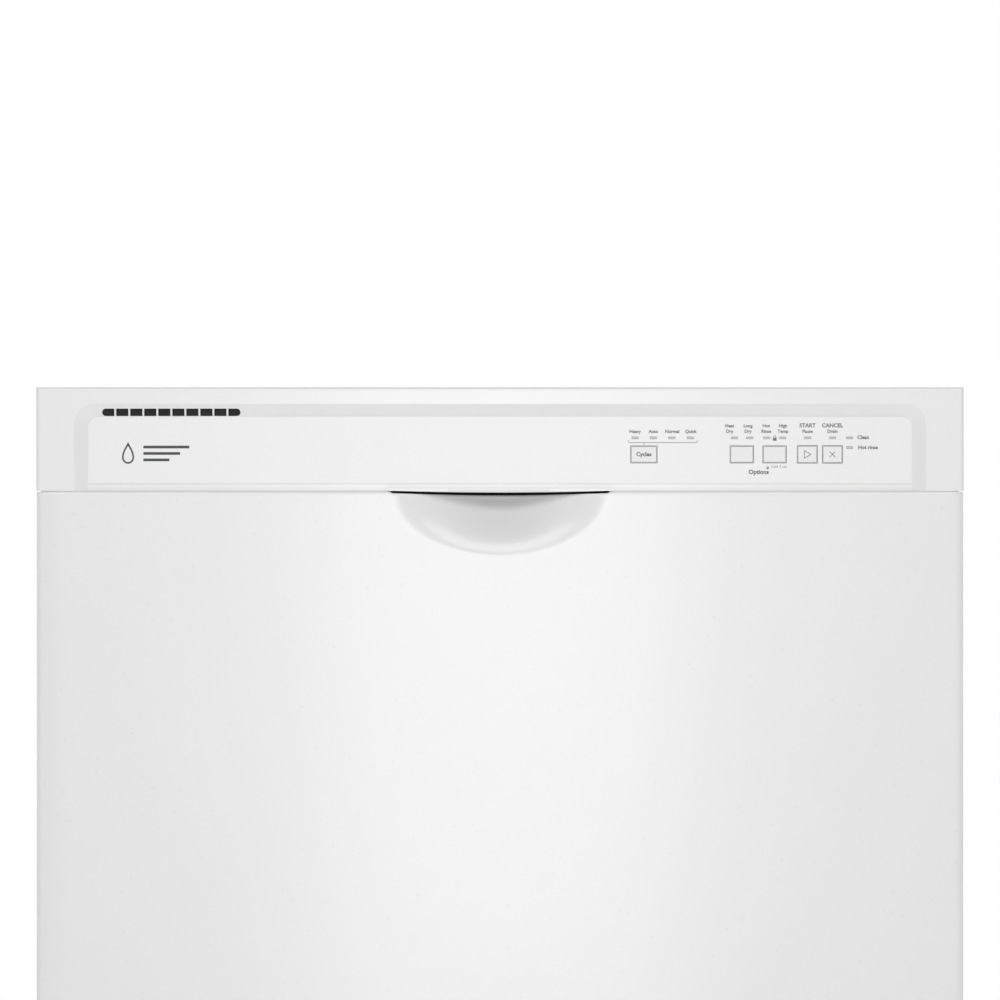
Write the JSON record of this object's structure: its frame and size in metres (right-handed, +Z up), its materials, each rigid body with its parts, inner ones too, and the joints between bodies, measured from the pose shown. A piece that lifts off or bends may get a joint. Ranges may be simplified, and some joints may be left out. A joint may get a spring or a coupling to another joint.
{
  "type": "built-in dishwasher",
  "caption": "Built-in dishwasher: drop-down front door with control panel and pocket handle, two pull-out racks, spray arms, tub on a steel base.",
  "frame": {"origin": "on the floor, under the middle of the machine", "axes": "+Z up, front faces -Y, +X to the right of a person facing the door"},
  "size_m": [0.606, 0.622, 0.864],
  "materials": {
    "tub_plastic": "satin moulded polypropylene",
    "gasket_rubber": "matt EPDM",
    "felt_blanket": "needled felt with foil face",
    "galvanised_steel": "galvanised sheet",
    "zinc_steel": "bright zinc plated",
    "white_enamel": "gloss enamel",
    "black_steel": "satin black",
    "white_abs": "gloss moulded ABS",
    "overlay_label": "printed polycarbonate",
    "white_key": "fine matt ABS",
    "clear_lens": "clear polycarbonate",
    "dark_plastic": "matt ABS",
    "grey_plastic": "matt polypropylene",
    "hose_grey": "corrugated polypropylene",
    "motor_steel": "satin black",
    "heater_steel": "dark Incoloy sheath",
    "filter_steel": "perforated stainless",
    "spray_arm_grey": "moulded polypropylene",
    "rack_vinyl": "vinyl coated wire",
    "wheel_grey": "acetal",
    "rail_steel": "stainless",
    "cable_steel": "wire rope",
    "board_green": "circuit board"
  },
  "bodies": {
    "chassis": {"tub": "tub_plastic", "tub_gasket": "gasket_rubber", "insulation_blanket": "felt_blanket", "base_frame": "galvanised_steel", "levelling_feet": "zinc_steel", "toe_kick": "white_enamel", "access_panel": "black_steel", "countertop_brackets": "zinc_steel", "chassis_screws": "zinc_steel", "hinge_brackets": "galvanised_steel", "sump": "dark_plastic", "wash_motor": "motor_steel", "drain_pump": "dark_plastic", "drain_hose": "hose_grey", "drain_fittings": "dark_plastic", "inlet_valve": "dark_plastic", "junction_box": "galvanised_steel", "heating_element": "heater_steel", "filter_plate": "filter_steel", "feed_tube": "grey_plastic", "latch_strike": "zinc_steel", "door_springs": "cable_steel"},
    "door": {"outer_door_panel": "white_enamel", "handle_liner": "dark_plastic", "console_panel": "white_abs", "control_overlay": "overlay_label", "indicator_lenses": "clear_lens", "control_board": "board_green", "vent_duct": "dark_plastic", "vent_cap": "grey_plastic", "inner_door_panel": "tub_plastic", "dispenser_body": "grey_plastic", "door_bottom_seal": "gasket_rubber", "hinge_arms": "galvanised_steel", "latch_body": "dark_plastic", "door_screws": "zinc_steel"},
    "upper_rack": {"upper_rack": "rack_vinyl", "upper_manifold": "grey_plastic"},
    "lower_rack": {"lower_rack": "rack_vinyl", "silverware_basket": "grey_plastic"},
    "door_cables": {"door_cables": "cable_steel"},
    "float_dome": {"float_dome": "grey_plastic"},
    "filter_cartridge": {"filter_cartridge": "grey_plastic"},
    "lower_spray_arm": {"lower_spray_arm": "spray_arm_grey"},
    "tub_rollers_front": {"tub_rollers_front": "wheel_grey"},
    "tub_rollers_rear": {"tub_rollers_rear": "wheel_grey"},
    "rack_rails": {"rack_rails": "rail_steel"},
    "upper_wheels_front": {"upper_wheels_front": "wheel_grey"},
    "upper_wheels_rear": {"upper_wheels_rear": "wheel_grey"},
    "upper_spray_arm": {"upper_spray_arm": "spray_arm_grey"},
    "lower_wheels_front": {"lower_wheels_front": "wheel_grey"},
    "lower_wheels_rear": {"lower_wheels_rear": "wheel_grey"},
    "key_cycles": {"key_cycles": "white_key"},
    "key_dry": {"key_dry": "white_key"},
    "key_rinse": {"key_rinse": "white_key"},
    "key_start": {"key_start": "white_key"},
    "key_cancel": {"key_cancel": "white_key"},
    "dispenser_lid": {"dispenser_lid": "grey_plastic"},
    "rinse_cap": {"rinse_cap": "grey_plastic"},
    "latch_hook": {"latch_hook": "zinc_steel"}
  },
  "joints": [
    {"name": "door_hinge", "type": "hinge", "parent": "chassis", "child": "door", "pos_m": [0, -0.262, 0.14], "axis": [1, 0, 0], "range_deg": [0, 90], "stiffness_Nm_per_rad": 18, "springref_deg": -5.73},
    {"name": "rails_slide", "type": "slide", "parent": "chassis", "child": "rack_rails", "axis": [0, -1, 0], "range_m": [0, 0.225]},
    {"name": "upper_rack_slide", "type": "slide", "parent": "rack_rails", "child": "upper_rack", "axis": [0, -1, 0], "range_m": [0, 0.225]},
    {"name": "lower_rack_slide", "type": "slide", "parent": "chassis", "child": "lower_rack", "axis": [0, -1, 0], "range_m": [0, 0.15]},
    {"name": "cable_slide", "type": "slide", "parent": "chassis", "child": "door_cables", "axis": [0, -1, 0], "range_m": [0, 0.03487], "deforming": ["door_springs"]},
    {"name": "tub_roller_front_spin", "type": "hinge", "parent": "chassis", "child": "tub_rollers_front", "pos_m": [0, -0.205, 0.6005], "axis": [1, 0, 0], "range_deg": [0, 1056.68]},
    {"name": "tub_roller_rear_spin", "type": "hinge", "parent": "chassis", "child": "tub_rollers_rear", "pos_m": [0, -0.06, 0.6005], "axis": [1, 0, 0], "range_deg": [0, 1056.68]},
    {"name": "upper_wheel_front_spin", "type": "hinge", "parent": "upper_rack", "child": "upper_wheels_front", "pos_m": [0, 0.02, 0.6005], "axis": [1, 0, 0], "range_deg": [0, 1056.68]},
    {"name": "upper_wheel_rear_spin", "type": "hinge", "parent": "upper_rack", "child": "upper_wheels_rear", "pos_m": [0, 0.18, 0.6005], "axis": [1, 0, 0], "range_deg": [0, 1056.68]},
    {"name": "lower_wheel_front_spin", "type": "hinge", "parent": "lower_rack", "child": "lower_wheels_front", "pos_m": [0, -0.139, 0.1673], "axis": [1, 0, 0], "range_deg": [0, 505.55]},
    {"name": "lower_wheel_rear_spin", "type": "hinge", "parent": "lower_rack", "child": "lower_wheels_rear", "pos_m": [0, 0.19, 0.1673], "axis": [1, 0, 0], "range_deg": [0, 505.55]},
    {"name": "lower_spray_spin", "type": "hinge", "parent": "chassis", "child": "lower_spray_arm", "pos_m": [0, 0.02, 0.18], "axis": [0, 0, 1], "continuous": true},
    {"name": "upper_spray_spin", "type": "hinge", "parent": "upper_rack", "child": "upper_spray_arm", "pos_m": [0, 0.02, 0.484], "axis": [0, 0, 1], "continuous": true},
    {"name": "float_rise", "type": "slide", "parent": "chassis", "child": "float_dome", "axis": [0, 0, 1], "range_m": [0, 0.012]},
    {"name": "filter_turn", "type": "hinge", "parent": "chassis", "child": "filter_cartridge", "pos_m": [-0.052, 0.032, 0.14], "axis": [0, 0, 1], "range_deg": [0, 90]},
    {"name": "key_cycles_press", "type": "slide", "parent": "door", "child": "key_cycles", "axis": [0, 1, 0], "range_m": [0, 0.0008], "stiffness_N_per_m": 900, "springref_m": -0.0004},
    {"name": "key_dry_press", "type": "slide", "parent": "door", "child": "key_dry", "axis": [0, 1, 0], "range_m": [0, 0.0008], "stiffness_N_per_m": 900, "springref_m": -0.0004},
    {"name": "key_rinse_press", "type": "slide", "parent": "door", "child": "key_rinse", "axis": [0, 1, 0], "range_m": [0, 0.0008], "stiffness_N_per_m": 900, "springref_m": -0.0004},
    {"name": "key_start_press", "type": "slide", "parent": "door", "child": "key_start", "axis": [0, 1, 0], "range_m": [0, 0.0008], "stiffness_N_per_m": 900, "springref_m": -0.0004},
    {"name": "key_cancel_press", "type": "slide", "parent": "door", "child": "key_cancel", "axis": [0, 1, 0], "range_m": [0, 0.0008], "stiffness_N_per_m": 900, "springref_m": -0.0004},
    {"name": "dispenser_lid_slide", "type": "slide", "parent": "door", "child": "dispenser_lid", "axis": [1, 0, 0], "range_m": [0, 0.072]},
    {"name": "rinse_cap_turn", "type": "hinge", "parent": "door", "child": "rinse_cap", "pos_m": [0.038, -0.25, 0.474], "axis": [0, 1, 0], "range_deg": [0, 90]},
    {"name": "latch_hook_swing", "type": "hinge", "parent": "door", "child": "latch_hook", "pos_m": [0, -0.284, 0.842], "axis": [1, 0, 0], "range_deg": [0, 15], "stiffness_Nm_per_rad": 1.2, "springref_deg": -5.73}
  ],
  "couplings": [
    {"joint": "rails_slide", "follows": "door_hinge", "m_per_rad": 0.14324},
    {"joint": "upper_rack_slide", "follows": "door_hinge", "m_per_rad": 0.14324},
    {"joint": "lower_rack_slide", "follows": "door_hinge", "m_per_rad": 0.095493},
    {"joint": "cable_slide", "follows": "door_hinge", "m_per_rad": 0.0222},
    {"joint": "tub_roller_front_spin", "follows": "door_hinge", "ratio": 11.741},
    {"joint": "upper_wheel_front_spin", "follows": "door_hinge", "ratio": 11.741},
    {"joint": "lower_wheel_front_spin", "follows": "door_hinge", "ratio": 5.6172},
    {"joint": "tub_roller_rear_spin", "follows": "door_hinge", "ratio": 11.741},
    {"joint": "upper_wheel_rear_spin", "follows": "door_hinge", "ratio": 11.741},
    {"joint": "lower_wheel_rear_spin", "follows": "door_hinge", "ratio": 5.6172}
  ]
}
